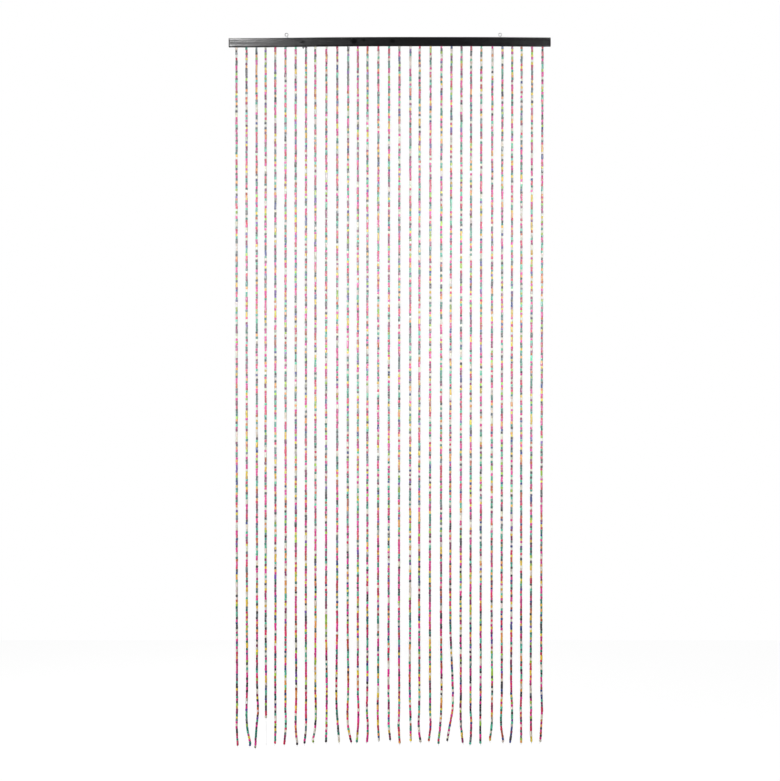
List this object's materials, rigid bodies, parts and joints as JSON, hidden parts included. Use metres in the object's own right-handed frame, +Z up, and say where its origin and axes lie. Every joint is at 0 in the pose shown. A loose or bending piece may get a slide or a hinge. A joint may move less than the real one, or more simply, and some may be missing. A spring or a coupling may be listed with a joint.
{
  "type": "bamboo bead door curtain with header bar",
  "caption": "Door curtain of dyed bamboo bead strings that hang free from a slim black wooden header bar with small screw eyes in its top edge.",
  "frame": {"origin": "on the straight line through the ring centres of both screw eyes, over the middle of the bar", "axes": "+Z up, +X to the right as seen from the front, the front faces -Y"},
  "size_m": [0.9, 0.0138, 1.9995],
  "materials": {
    "black_lacquer": "satin black lacquer on wood, its grain showing",
    "zinc_wire": "dull zinc plate",
    "dyed_bamboo": "satin dyed bamboo in many colours"
  },
  "bodies": {
    "root": {"header_bar": "black_lacquer", "screw_eye_left": "zinc_wire", "screw_eye_right": "zinc_wire", "bead_strands": "dyed_bamboo"}
  },
  "joints": []
}
